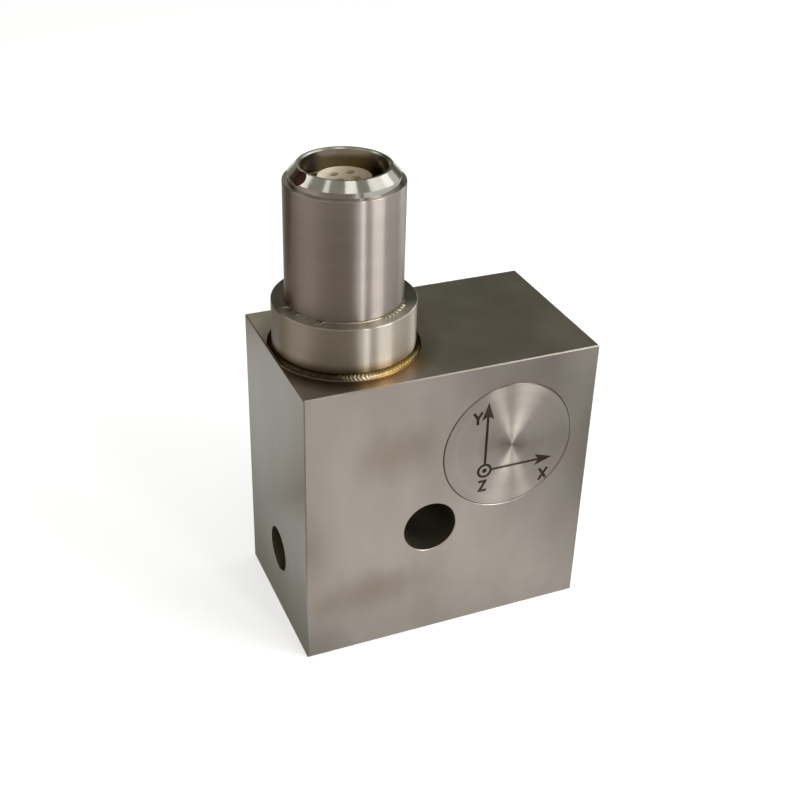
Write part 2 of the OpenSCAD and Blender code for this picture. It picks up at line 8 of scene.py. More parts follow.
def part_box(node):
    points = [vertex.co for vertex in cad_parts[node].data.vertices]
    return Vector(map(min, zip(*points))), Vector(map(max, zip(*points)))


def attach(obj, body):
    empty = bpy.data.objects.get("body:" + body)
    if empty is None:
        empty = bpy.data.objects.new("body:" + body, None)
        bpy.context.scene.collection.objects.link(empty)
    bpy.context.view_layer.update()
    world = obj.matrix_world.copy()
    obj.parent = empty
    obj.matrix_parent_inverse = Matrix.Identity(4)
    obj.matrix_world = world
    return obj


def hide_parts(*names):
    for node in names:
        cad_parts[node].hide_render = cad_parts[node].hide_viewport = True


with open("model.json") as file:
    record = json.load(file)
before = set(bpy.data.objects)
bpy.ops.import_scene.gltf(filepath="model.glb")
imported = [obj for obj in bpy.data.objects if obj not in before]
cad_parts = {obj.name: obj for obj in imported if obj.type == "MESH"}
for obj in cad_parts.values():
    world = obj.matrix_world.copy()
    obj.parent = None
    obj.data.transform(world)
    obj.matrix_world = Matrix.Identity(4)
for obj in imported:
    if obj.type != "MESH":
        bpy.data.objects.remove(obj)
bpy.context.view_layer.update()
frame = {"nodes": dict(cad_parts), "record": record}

nodes = frame["nodes"]
mm = 0.001
print("frame loaded:", len(nodes), "CAD nodes")

# camera
cameraSet = {
    "eye": (-52.53, -114.94, 101.97),  # mm in the part's frame
    "azimuth": 23.65,
    "dip": 31.17,
    "roll": 1.74,
    "lens": 56.56,
    "sensor": 36,  # mm
    "clip": (0.005, 20),  # m
}
turn = (
    Matrix.Rotation(math.radians(-cameraSet["azimuth"]), 4, "Z")
    @ Matrix.Rotation(math.radians(90 - cameraSet["dip"]), 4, "X")
    @ Matrix.Rotation(math.radians(cameraSet["roll"]), 4, "Z")
)
cameraData = bpy.data.cameras.new("studioCamera")
cameraData.lens = cameraSet["lens"]
cameraData.sensor_width = cameraSet["sensor"]
cameraData.clip_start, cameraData.clip_end = cameraSet["clip"]
camera = bpy.data.objects.new("studioCamera", cameraData)
camera.matrix_world = Matrix.Translation(Vector(cameraSet["eye"]) * mm) @ turn
bpy.context.scene.collection.objects.link(camera)
bpy.context.scene.camera = camera
bpy.context.scene.view_settings.view_transform = "Standard"
print("camera set")


def linear(hexColour):
    # sRGB hex to linear RGBA
    def channel(pair):
        value = int(pair, 16) / 255
        return value / 12.92 if value <= 0.04045 else ((value + 0.055) / 1.055) ** 2.4
    text = hexColour.lstrip("#")
    return (channel(text[0:2]), channel(text[2:4]), channel(text[4:6]), 1)


def add(tree, kind, feeds=(), stops=(), **settings):
    # one node; feeds are sockets, nodes (first output) or values, by place or by name;
    # stops fill a colour ramp with (place, hex colour or grey value)
    made = tree.nodes.new("ShaderNode" + kind)
    for name, value in settings.items():
        setattr(made, name, value)
    for key, value in feeds.items() if isinstance(feeds, dict) else enumerate(feeds):
        if isinstance(value, bpy.types.Node):
            value = value.outputs[0]
        if isinstance(value, bpy.types.NodeSocket):
            tree.links.new(value, made.inputs[key])
        else:
            made.inputs[key].default_value = linear(value) if isinstance(value, str) else value
    for i, (place, tone) in enumerate(stops):
        stop = made.color_ramp.elements[i] if i < 2 else made.color_ramp.elements.new(place)
        stop.position = place
        stop.color = linear(tone) if isinstance(tone, str) else (tone, tone, tone, 1)
    return made


def newMaterial(name, hexColour, metallic, roughness, **more):
    material = bpy.data.materials.new(name)
    material.use_nodes = True
    material.diffuse_color = linear(hexColour)
    shader = material.node_tree.nodes["Principled BSDF"]
    shader.inputs["Base Color"].default_value = linear(hexColour)
    shader.inputs["Metallic"].default_value = metallic
    shader.inputs["Roughness"].default_value = roughness
    for key, value in more.items():
        shader.inputs[key.replace("_", " ")].default_value = value
    return material, material.node_tree, shader


def placeInMm(tree):
    place = add(tree, "TexCoord").outputs["Object"]
    return add(tree, "VectorMath", {0: place, "Scale": 1000.0}, operation="SCALE").outputs[0]


def azimuthShare(tree, across, y):
    # by azimuth round the tower: 0 at -180 degrees, 0.5 at 0
    azimuth = add(tree, "Math", [y, across], operation="ARCTAN2")
    return add(tree, "MapRange", {"Value": azimuth, "From Min": -math.pi, "From Max": math.pi})


def finish(tree, shader, colour, roughness, heightInMm):
    bump = add(tree, "Bump", {"Height": heightInMm, "Distance": mm, "Strength": 1.0})
    tree.links.new(colour, shader.inputs["Base Color"])
    tree.links.new(roughness, shader.inputs["Roughness"])
    tree.links.new(bump.outputs[0], shader.inputs["Normal"])


def boxOf(node):
    low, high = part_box(node)
    return low / mm, high / mm


def roundedProfile(corners, steps=6, support=0.03):
    # closed outline in mm from (r, z, fillet); every fillet has a support point at both ends
    outline = []
    count = len(corners)
    for i, (r, z, fillet) in enumerate(corners):
        here = Vector((r, z))
        if fillet == 0:
            outline.append(here)
            continue
        inDir = (Vector(corners[i - 1][:2]) - here).normalized()
        outDir = (Vector(corners[(i + 1) % count][:2]) - here).normalized()
        half = inDir.angle(outDir) / 2
        reach = fillet / math.tan(half)
        middle = here + (inDir + outDir).normalized() * (fillet / math.sin(half))
        start, end = here + inDir * reach, here + outDir * reach
        a = math.atan2(start.y - middle.y, start.x - middle.x)
        b = math.atan2(end.y - middle.y, end.x - middle.x)
        sweep = (b - a + math.pi) % (2 * math.pi) - math.pi
        outline.append(start + inDir * support)
        for k in range(steps + 1):
            t = a + sweep * k / steps
            outline.append(middle + fillet * Vector((math.cos(t), math.sin(t))))
        outline.append(end + outDir * support)
    return outline


def ringFaces(turns, n):
    # quads of a closed outline of n points carried once round
    faces = []
    for i in range(turns):
        j = (i + 1) % turns
        for k in range(n):
            m = (k + 1) % n
            faces.append((i * n + k, j * n + k, j * n + m, i * n + m))
    return faces


def lathe(outline, turns):
    # points in metres and faces of an outline turned about the tower's axis
    points = []
    for i in range(turns):
        a = 2 * math.pi * i / turns
        for r, z in outline:
            points.append(((towerX + r * math.cos(a)) * mm, r * math.sin(a) * mm, z * mm))
    return points, ringFaces(turns, len(outline))


def makeMesh(name, points, faces, material, sharpAngle=40):
    mesh = bpy.data.meshes.new(name)
    mesh.from_pydata(points, [], faces)
    work = bmesh.new()
    work.from_mesh(mesh)
    bmesh.ops.recalc_face_normals(work, faces=work.faces)
    work.to_mesh(mesh)
    work.free()
    mesh.shade_smooth()
    mesh.set_sharp_from_angle(angle=math.radians(sharpAngle))
    mesh.materials.append(material)
    made = bpy.data.objects.new(name, mesh)
    bpy.context.scene.collection.objects.link(made)
    return made


def makePiece(name, mesh, material, node, sharpAngle=40):
    # a scene piece that stands in for one CAD solid
    made = makeMesh(name, *mesh, material, sharpAngle)
    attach(made, "root")
    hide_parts(node)
    return made


def dress(node, material):
    mesh = nodes[node].data
    mesh.materials.clear()
    mesh.materials.append(material)


# places in mm, all from the CAD
lidLow, lidHigh = boxOf("front_lid")
collarLow, collarHigh = boxOf("weld_collar")
sleeveLow, sleeveHigh = boxOf("connector_sleeve")
shellLow, shellHigh = boxOf("connector_shell")
lidX, lidZ = (lidLow.x + lidHigh.x) / 2, (lidLow.z + lidHigh.z) / 2
lidR = (lidHigh.x - lidLow.x) / 2
towerX = (collarLow.x + collarHigh.x) / 2
blockLow, blockHigh = boxOf("housing_block")
blockTop, ledgeZ, sleeveTop = blockHigh.z, collarHigh.z, sleeveHigh.z
collarR = (collarHigh.x - collarLow.x) / 2
sleeveR = (sleeveHigh.x - sleeveLow.x) / 2
bores = [m for m in frame["record"]["mounts"] if m["kind"] == "bore"]


# ground stainless steel, surface ground and wiped: satin warm grey with long fine lines and soft clouds
groundSteel = {
    "colour": "#aaa299",
    "cloudColour": "#9b9289",
    "lineColour": "#9a9188",
    "edgeColour": "#a9a298",  # worn edges
    "lineSpacing": 0.14,  # mm; the wheel leaves about 0.05, drawn coarser so that it shows
    "lineLength": 8.0,  # mm
    "lineDepth": 0.0011,  # mm
    "lineStrength": 0.5,
    "lineCut": 0.12,  # the faintest lines don't show
    "waveScale": 0.9,  # per mm, slow waves under the lines
    "cloudSize": 8.5,  # mm
    "cloudStretch": 0.45,  # under 1 the clouds stand upright
    "sideTilt": 0.8,  # a normal with more of X belongs to a side
    "edgeTilt": 0.9,  # a normal without a larger part belongs to a broken edge
    "roughness": 0.31,
    "cloudRoughness": 0.1,
    "lineRoughness": 0.06,
    "boreColour": "#7a7364",  # painted shade in the bores
    "boreRoughness": 0.2,  # on top of the block's
    "boreEnd": 0.004,  # mm, the painted shade stops short of the faces
    "rimColour": "#453c33",  # painted shade over the highlight on their broken edges
    "rim": (0.01, 0.3),  # mm outside the bore
    # handling stains on the front: x, z, half width, half height in mm, strength
    "stains": [(-6.5, 26.3, 6.5, 3.6, 0.75), (-9.3, 8.0, 7.0, 3.0, 0.8), (-15.2, 6.6, 2.4, 2.4, 0.5)],
    "stainColour": "#8b8073",
    "stainSoft": 1.3,  # shares of the half width
    "stainWander": 1.2,
    "frontSkin": 0.05,  # mm, what counts as the front
    "topSkin": 0.2,  # mm, what counts as the top
    # heat tint round the weld by distance from it: straw and plum in front, smoke elsewhere
    "tintFrom": 0.4,  # mm from the collar
    "tintReach": 3.0,  # mm
    "tintWander": 1.6,  # mm
    "tintEnd": 3.0,  # how sharply it ends
    "frontTint": [(0.0, "#5d4a26"), (0.16, "#9c8248"), (0.34, "#a07c56"), (0.6, "#a38e7a"), (1.0, "#ada499")],
    "smokeTint": [(0.0, "#2f281c"), (0.2, "#4a4234"), (0.5, "#72695e"), (1.0, "#9a9188")],
    # by azimuth round the tower: how strong the tint is and how much of it is the front one
    "tintTurn": [
        (0.0, 0.8), (0.15, 0.9), (0.25, 0.9), (0.35, 0.9), (0.4, 0.6), (0.5, 0.25), (0.85, 0.3), (1.0, 0.8),
    ],
    "frontTurn": [(0.0, 0.0), (0.2, 0.1), (0.25, 1.0), (0.36, 1.0), (0.4, 0.1), (0.5, 0.0)],
}


def groundSteelMaterial():
    s = groundSteel
    material, tree, shader = newMaterial("groundStainlessSteel", s["colour"], 1.0, s["roughness"])
    place = placeInMm(tree)
    x, y, z = add(tree, "SeparateXYZ", [place]).outputs
    normal = add(tree, "NewGeometry").outputs["Normal"]
    faceX, faceY, faceZ = add(
        tree, "SeparateXYZ", [add(tree, "VectorMath", [normal], operation="ABSOLUTE")],
    ).outputs

    # lines along X, but along Z on the two sides
    onSide = add(tree, "Math", [faceX, s["sideTilt"]], operation="GREATER_THAN")
    short = s["lineSpacing"] / s["lineLength"]
    alongX = add(tree, "VectorMath", [place, (short, 1, 1)], operation="MULTIPLY")
    alongZ = add(tree, "VectorMath", [place, (1, 1, short)], operation="MULTIPLY")
    drawn = add(tree, "Mix", {0: onSide, 4: alongX, 5: alongZ}, data_type="VECTOR").outputs[1]
    lines = add(tree, "TexNoise", {"Vector": drawn, "Scale": 1 / s["lineSpacing"], "Detail": 3.0, "Roughness": 0.6})
    coarse = add(tree, "TexNoise", {"Vector": drawn, "Scale": s["waveScale"], "Detail": 2.0})
    tall = add(tree, "VectorMath", [place, (1, 1, s["cloudStretch"])], operation="MULTIPLY")
    clouds = add(tree, "TexNoise", {"Vector": tall, "Scale": 1 / s["cloudSize"], "Detail": 3.0, "Roughness": 0.55})

    cloudy = add(tree, "ValToRGB", [clouds], [(0.35, s["cloudColour"]), (0.65, s["colour"])])
    lineShare = add(
        tree, "Math", [lines, s["lineStrength"], -s["lineCut"]], operation="MULTIPLY_ADD", use_clamp=True,
    )
    lined = add(tree, "Mix", {0: lineShare, 6: cloudy, 7: s["lineColour"]}, data_type="RGBA").outputs[2]
    onFront = add(tree, "Math", [y, blockLow.y + s["frontSkin"]], operation="LESS_THAN")
    for stainX, stainZ, halfWidth, halfHeight, strength in s["stains"]:
        away = add(tree, "VectorMath", [place, (stainX, blockLow.y, stainZ)], operation="SUBTRACT")
        scaled = add(tree, "VectorMath", [away, (1 / halfWidth, 0, 1 / halfHeight)], operation="MULTIPLY")
        reached = add(tree, "VectorMath", [scaled], operation="LENGTH").outputs["Value"]
        blurred = add(
            tree, "Math", [clouds, s["stainWander"], add(tree, "Math", [reached, -s["stainWander"] / 2])],
            operation="MULTIPLY_ADD",
        )
        soft = add(
            tree, "MapRange", {"Value": blurred, "From Min": s["stainSoft"], "From Max": 0.0, "To Max": strength},
            interpolation_type="SMOOTHSTEP",
        )
        here = add(tree, "Math", [soft, onFront], operation="MULTIPLY")
        lined = add(tree, "Mix", {0: here, 6: lined, 7: s["stainColour"]}, data_type="RGBA").outputs[2]
    flattest = add(
        tree, "Math", [faceX, add(tree, "Math", [faceY, faceZ], operation="MAXIMUM")], operation="MAXIMUM",
    )
    edge = add(tree, "Math", [flattest, s["edgeTilt"]], operation="LESS_THAN")
    edged = add(tree, "Mix", {0: edge, 6: lined, 7: s["edgeColour"]}, data_type="RGBA").outputs[2]

    across = add(tree, "Math", [x, towerX], operation="SUBTRACT")
    offAxis = add(tree, "VectorMath", [add(tree, "CombineXYZ", [across, y])], operation="LENGTH").outputs["Value"]
    wavy = add(
        tree, "Math", [clouds, s["tintWander"], add(tree, "Math", [offAxis, -s["tintWander"] / 2])],
        operation="MULTIPLY_ADD",
    )
    tintStart = collarR + s["tintFrom"]
    reach = add(tree, "MapRange", {"Value": wavy, "From Min": tintStart, "From Max": tintStart + s["tintReach"]})
    share = azimuthShare(tree, across, y)
    dwell = add(tree, "ValToRGB", [share], s["tintTurn"])
    inFront = add(tree, "ValToRGB", [share], s["frontTurn"])
    darkening = add(tree, "ValToRGB", [reach], s["smokeTint"])
    straw = add(tree, "ValToRGB", [reach], s["frontTint"])
    tint = add(tree, "Mix", {0: inFront, 6: darkening, 7: straw}, data_type="RGBA").outputs[2]
    rest = add(tree, "Math", [1.0, reach], operation="SUBTRACT")
    fade = add(tree, "Math", [rest, s["tintEnd"]], operation="MULTIPLY", use_clamp=True)
    onTop = add(tree, "Math", [z, blockTop - s["topSkin"]], operation="GREATER_THAN")
    near = add(tree, "Math", [add(tree, "Math", [fade, dwell], operation="MULTIPLY"), onTop], operation="MULTIPLY")
    tinted = add(tree, "Mix", {0: near, 6: edged, 7: tint}, data_type="RGBA").outputs[2]

    inBore = onRim = 0.0
    rimFrom, rimTo = s["rim"]
    for mount in bores:
        centre = Vector(mount["pos_m"]) / mm
        along = [abs(c) for c in mount["axis"]].index(1)
        mask = [0 if k == along else 1 for k in range(3)]
        offset = add(tree, "VectorMath", [place, centre], operation="SUBTRACT")
        flat = add(tree, "VectorMath", [offset, mask], operation="MULTIPLY")
        radius = add(tree, "VectorMath", [flat], operation="LENGTH").outputs["Value"]
        depth = add(tree, "Math", [add(tree, "SeparateXYZ", [offset]).outputs[along]], operation="ABSOLUTE")
        inside = add(tree, "Math", [radius, mount["dims"]["r_mm"] + rimTo], operation="LESS_THAN")
        within = add(tree, "Math", [depth, mount["dims"]["length_mm"] / 2 - s["boreEnd"]], operation="LESS_THAN")
        both = add(tree, "Math", [inside, within], operation="MULTIPLY")
        inBore = add(tree, "Math", [inBore, both], operation="MAXIMUM")
        wide = add(tree, "Math", [radius, mount["dims"]["r_mm"] + rimFrom], operation="GREATER_THAN")
        onRim = add(
            tree, "Math", [onRim, add(tree, "Math", [both, wide], operation="MULTIPLY")], operation="MAXIMUM",
        )
    # painted shade inside the bores
    boreShaded = add(tree, "Mix", {0: inBore, 6: tinted, 7: s["boreColour"]}, data_type="RGBA").outputs[2]
    # painted shade on the bores' broken edges, over their highlight
    final = add(tree, "Mix", {0: onRim, 6: boreShaded, 7: s["rimColour"]}, data_type="RGBA").outputs[2]

    least = s["roughness"] - (s["cloudRoughness"] + s["lineRoughness"]) / 2
    worn = add(tree, "Math", [clouds, s["cloudRoughness"], least], operation="MULTIPLY_ADD")
    rougher = add(tree, "Math", [lines, s["lineRoughness"], worn], operation="MULTIPLY_ADD")
    rough = add(tree, "Math", [inBore, s["boreRoughness"], rougher], operation="MULTIPLY_ADD")
    height = add(tree, "Math", [add(tree, "Math", [lines, coarse]), s["lineDepth"]], operation="MULTIPLY")
    finish(tree, shader, final, rough.outputs[0], height)
    return material


groundSteelLook = groundSteelMaterial()
dress("housing_block", groundSteelLook)
dress("element_carrier", groundSteelLook)
print("housing block dressed")


# turned stainless steel, faced on a lathe: rings round the centre spread each lamp into a fan
lidSet = {
    "colour": "#aba299",
    "bandColour": "#a19990",
    "markColour": "#544a42",  # etched and darkened
    "ringSpacing": 0.16,  # mm of feed per turn, drawn about double
    "ringDepth": 0.0005,  # mm
    "ringWobble": 0.02,
    "ringRoughness": 0.04,
    "bandScale": 0.8,  # per mm
    "slope": 0.02,  # mm per mm, the face falls away to the rim
    "offCentre": 0.5,  # mm, the turning centre lies right of the middle
    "roughness": 0.31,
    "centreRoughness": 0.24,  # on top of that at the very middle
    "centreReach": 0.6,  # of the lid's radius
    "dullColour": "#928980",  # the tool rubs near the centre
    "dullReach": 2.4,  # mm
    "anisotropy": 0.97,
    "seamColour": "#574c42",  # painted shade in the seam round the lid
    "seamWidth": 0.13,  # mm
    "seamStrength": 0.6,
    "markDepth": 0.02,  # mm below the face where the mark starts
    "markEdge": 0.2,  # mm inside the rim where it ends at the latest
    "markRoughness": 0.3,
}


def lidMaterial():
    s = lidSet
    material, tree, shader = newMaterial(
        "facedStainlessSteel", s["colour"], 1.0, s["roughness"], Anisotropic=s["anisotropy"],
        Anisotropic_Rotation=0.25,
    )
    x, y, z = add(tree, "SeparateXYZ", [placeInMm(tree)]).outputs
    dx = add(tree, "Math", [x, lidX + s["offCentre"]], operation="SUBTRACT")
    dz = add(tree, "Math", [z, lidZ], operation="SUBTRACT")
    back = add(tree, "Math", [dx, -1.0], operation="MULTIPLY")
    ringwise = add(tree, "VectorMath", [add(tree, "CombineXYZ", [dz, 0.0, back])], operation="NORMALIZE")
    tree.links.new(ringwise.outputs[0], shader.inputs["Tangent"])
    radius = add(tree, "VectorMath", [add(tree, "CombineXYZ", [dx, dz])], operation="LENGTH").outputs["Value"]
    flat = add(tree, "CombineXYZ", [0.0, dx, dz])
    slight = add(tree, "VectorMath", {0: flat, "Scale": s["ringWobble"]}, operation="SCALE").outputs[0]
    ringPlace = add(tree, "VectorMath", [slight, add(tree, "CombineXYZ", [radius])])
    rings = add(tree, "TexNoise", {"Vector": ringPlace, "Scale": 1 / s["ringSpacing"], "Detail": 2.0})
    bands = add(tree, "TexNoise", {"Vector": ringPlace, "Scale": s["bandScale"], "Detail": 2.0})
    banded = add(tree, "ValToRGB", [bands], [(0.3, s["bandColour"]), (0.7, s["colour"])])
    dull = add(tree, "MapRange", {"Value": radius, "From Min": s["dullReach"], "From Max": 0.0})
    toned = add(tree, "Mix", {0: dull, 6: banded, 7: s["dullColour"]}, data_type="RGBA").outputs[2]
    etched = add(tree, "Math", [y, lidLow.y + s["markDepth"]], operation="GREATER_THAN")
    onPlane = add(tree, "CombineXYZ", [x, z])
    centred = add(tree, "VectorMath", [onPlane, (lidX, lidZ, 0)], operation="DISTANCE").outputs["Value"]
    onFace = add(tree, "Math", [centred, lidR - s["markEdge"]], operation="LESS_THAN")
    marked = add(tree, "Math", [etched, onFace], operation="MULTIPLY")
    # painted shade in the seam round the lid
    seam = add(tree, "MapRange", {
        "Value": centred, "From Min": lidR - s["seamWidth"], "From Max": lidR - s["seamWidth"] / 2,
        "To Max": s["seamStrength"],
    })
    seamShaded = add(tree, "Mix", {0: seam, 6: toned, 7: s["seamColour"]}, data_type="RGBA").outputs[2]
    final = add(tree, "Mix", {0: marked, 6: seamShaded, 7: s["markColour"]}, data_type="RGBA").outputs[2]
    even = add(
        tree, "Math", [rings, s["ringRoughness"], s["roughness"] - s["ringRoughness"] / 2],
        operation="MULTIPLY_ADD",
    )
    inward = add(tree, "MapRange", {
        "Value": radius, "From Min": s["centreReach"] * lidR, "From Max": 0.0, "To Max": s["centreRoughness"],
    })
    rougher = add(tree, "Math", [inward, even])
    rough = add(tree, "Math", [marked, s["markRoughness"], rougher], operation="MULTIPLY_ADD")
    fall = add(tree, "Math", [radius, -s["slope"]], operation="MULTIPLY")
    height = add(tree, "Math", [rings, s["ringDepth"], fall], operation="MULTIPLY_ADD")
    finish(tree, shader, final, rough.outputs[0], height)
    return material


dress("front_lid", lidMaterial())
print("lid dressed")


# fine turned stainless steel outside the tower: the feed marks draw each lamp into an upright streak
towerSet = {
    "sleeveTones": [(0.0, "#9c948d"), (1.0, "#9c948d")],
    # by azimuth: hazed by the weld's heat, with a painted highlight on the front right
    "collarTones": [
        (0.0, "#a9a296"), (0.29, "#a9a296"), (0.34, "#bdb6a9"), (0.39, "#d6cfc0"), (0.44, "#dad3c4"),
        (0.6, "#a9a296"),
    ],
    # painted shade round the ledge except at its front, by azimuth
    "ledgeTones": [
        (0.0, 0.3), (0.05, 0.75), (0.1, 1.0), (0.375, 1.0), (0.4, 0.55), (0.43, 0.2), (0.6, 0.17), (1.0, 0.25),
    ],
    # smoke on the collar's wall just above the weld, by azimuth
    "footTones": [
        (0.0, "#a09273"), (0.21, "#998b6c"), (0.26, "#a8997a"), (0.3, "#d3c09a"), (0.36, "#efe5ce"),
        (0.45, "#e8e4d8"), (0.6, "#a09273"),
    ],
    "footReach": (0.55, 1.9),  # mm above the block, from full to none
    "bandTones": [(0.3, 0.9), (0.7, 1.0)],
    "bandScale": 0.5,  # per mm
    "feed": 0.11,  # mm per turn, drawn about double
    "streak": 0.03,  # a mark's width over its length
    "lineDepth": 0.0006,  # mm
    "lineRoughness": 0.05,
    "roughness": 0.33,
    "anisotropy": 1.0,
    "ledgeSkin": 0.02,  # mm, what counts as the ledge
    # radii and lengths in mm of what the CAD's boxes don't give
    "collarEdge": 0.14,
    "collarBore": 4.8,
    "collarSpigot": 5.78,
    "sleeveEdge": 0.12,
    "sleeveGap": 0.02,
    "sleeveBore": 5.4,
    "noseSeat": 5.9,
    "noseSeatDepth": 0.5,
    "turns": 192,
}


def towerMaterial(name, tones, topTones=()):
    s = towerSet
    material, tree, shader = newMaterial(
        name, tones[0][1], 1.0, s["roughness"], Anisotropic=s["anisotropy"], Anisotropic_Rotation=0.25,
    )
    tree.links.new(add(tree, "Tangent", direction_type="RADIAL", axis="Z").outputs[0], shader.inputs["Tangent"])
    place = placeInMm(tree)
    x, y, z = add(tree, "SeparateXYZ", [place]).outputs
    share = azimuthShare(tree, add(tree, "Math", [x, towerX], operation="SUBTRACT"), y)
    drawn = add(tree, "VectorMath", [place, (s["streak"], s["streak"], 1)], operation="MULTIPLY")
    lines = add(tree, "TexNoise", {"Vector": drawn, "Scale": 1 / s["feed"], "Detail": 2.0})
    slow = add(tree, "TexNoise", {"Vector": drawn, "Scale": s["bandScale"], "Detail": 3.0})
    bands = add(tree, "ValToRGB", [slow], s["bandTones"])
    plain = add(tree, "ValToRGB", [share], tones)
    toned = add(tree, "Mix", {0: 1.0, 6: plain, 7: bands}, data_type="RGBA", blend_type="MULTIPLY").outputs[2]
    if topTones:
        onTop = add(tree, "Math", [z, ledgeZ - s["ledgeSkin"]], operation="GREATER_THAN")
        low, high = s["footReach"]
        footRange = {"Value": z, "From Min": blockTop + high, "From Max": blockTop + low}
        nearFoot = add(tree, "MapRange", footRange, interpolation_type="SMOOTHSTEP")
        foot = add(tree, "ValToRGB", [share], s["footTones"])
        toned = add(
            tree, "Mix", {0: nearFoot, 6: toned, 7: foot}, data_type="RGBA", blend_type="MULTIPLY",
        ).outputs[2]
        # painted shade on the ledge, by azimuth
        darkening = add(tree, "ValToRGB", [share], topTones)
        toned = add(tree, "Mix", {0: onTop, 6: toned, 7: darkening}, data_type="RGBA", blend_type="MULTIPLY").outputs[2]
    rough = add(
        tree, "Math", [lines, s["lineRoughness"], s["roughness"] - s["lineRoughness"] / 2],
        operation="MULTIPLY_ADD",
    )
    height = add(tree, "Math", [lines, s["lineDepth"]], operation="MULTIPLY")
    finish(tree, shader, toned, rough.outputs[0], height)
    return material


# the collar's tones hold a painted highlight on the front right
collarLook = towerMaterial("turnedStainlessSteel", towerSet["collarTones"], towerSet["ledgeTones"])
sleeveLook = towerMaterial("fineTurnedStainlessSteel", towerSet["sleeveTones"])
collarBore, spigot, seat = towerSet["collarBore"], towerSet["collarSpigot"], sleeveR + towerSet["sleeveGap"]
collarOutline = roundedProfile([
    (collarBore, collarLow.z, 0), (spigot, collarLow.z, 0), (spigot, blockTop, 0), (collarR, blockTop, 0),
    (collarR, ledgeZ, towerSet["collarEdge"]), (seat, ledgeZ, 0), (seat, sleeveLow.z, 0),
    (collarBore, sleeveLow.z, 0),
])
makePiece("turnedCollar", lathe(collarOutline, towerSet["turns"]), collarLook, "weld_collar")
sleeveBore, noseSeat = towerSet["sleeveBore"], towerSet["noseSeat"]
seatZ = sleeveTop - towerSet["noseSeatDepth"]
sleeveOutline = roundedProfile([
    (sleeveBore, sleeveLow.z, 0), (sleeveR, sleeveLow.z, 0), (sleeveR, sleeveTop, towerSet["sleeveEdge"]),
    (noseSeat, sleeveTop, 0), (noseSeat, seatZ, 0), (sleeveBore, seatZ, 0),
])
makePiece("turnedSleeve", lathe(sleeveOutline, towerSet["turns"]), sleeveLook, "connector_sleeve")
print("collar and sleeve made")


# weld metal: scale dulls it at grazing angles, bright specks are painted glints
weldSet = {
    "edgeTint": "#8a7c62",
    "cloudScale": 2.0,  # per mm
    "toneWander": 0.06,  # shares of a turn
    "speckScale": 5.0,  # per mm
    "speckRange": (0.58, 0.78),
    "speckStrength": 0.4,
    "speckColour": "#b9b09c",
    "speckRoughness": 0.1,
    "speckHeight": 0.015,  # mm
    "toeSoft": 0.05,  # mm
}


def weldMaterial(name, stops, toeColour, toeTop, roughness):
    # colours by azimuth round the tower, a painted highlight along the toe below toeTop
    s = weldSet
    material, tree, shader = newMaterial(name, stops[0][1], 1.0, roughness, Specular_Tint=linear(s["edgeTint"]))
    place = placeInMm(tree)
    x, y, z = add(tree, "SeparateXYZ", [place]).outputs
    share = azimuthShare(tree, add(tree, "Math", [x, towerX], operation="SUBTRACT"), y)
    cloud = add(tree, "TexNoise", {"Vector": place, "Scale": s["cloudScale"], "Detail": 4.0})
    start = add(tree, "Math", [share, -s["toneWander"] / 2])
    moved = add(tree, "Math", [cloud, s["toneWander"], start], operation="MULTIPLY_ADD")
    tint = add(tree, "ValToRGB", [moved], stops)
    speck = add(tree, "TexNoise", {"Vector": place, "Scale": s["speckScale"], "Detail": 3.0})
    least, most = s["speckRange"]
    bright = add(
        tree, "MapRange", {"Value": speck, "From Min": least, "From Max": most, "To Max": s["speckStrength"]},
    )
    # painted glints
    specked = add(tree, "Mix", {0: bright, 6: tint, 7: s["speckColour"]}, data_type="RGBA").outputs[2]
    # painted highlight along the toe
    toe = add(tree, "MapRange", {"Value": z, "From Min": toeTop, "From Max": toeTop - s["toeSoft"]})
    final = add(tree, "Mix", {0: toe, 6: specked, 7: toeColour}, data_type="RGBA").outputs[2]
    smoothest = roughness - s["speckRoughness"] / 2
    even = add(tree, "Math", [speck, s["speckRoughness"], smoothest], operation="MULTIPLY_ADD")
    height = add(tree, "Math", [speck, s["speckHeight"]], operation="MULTIPLY")
    finish(tree, shader, final, even.outputs[0], height)
    return material


def beadTone(azimuth, start, end, soft):
    # 1 between two azimuths in degrees, falling to 0 over soft degrees outside them
    middle, half = (start + end) / 2, (end - start) / 2
    away = abs((azimuth - middle + 180) % 360 - 180) - half
    return max(0.0, min(1.0, 1 - away / soft))


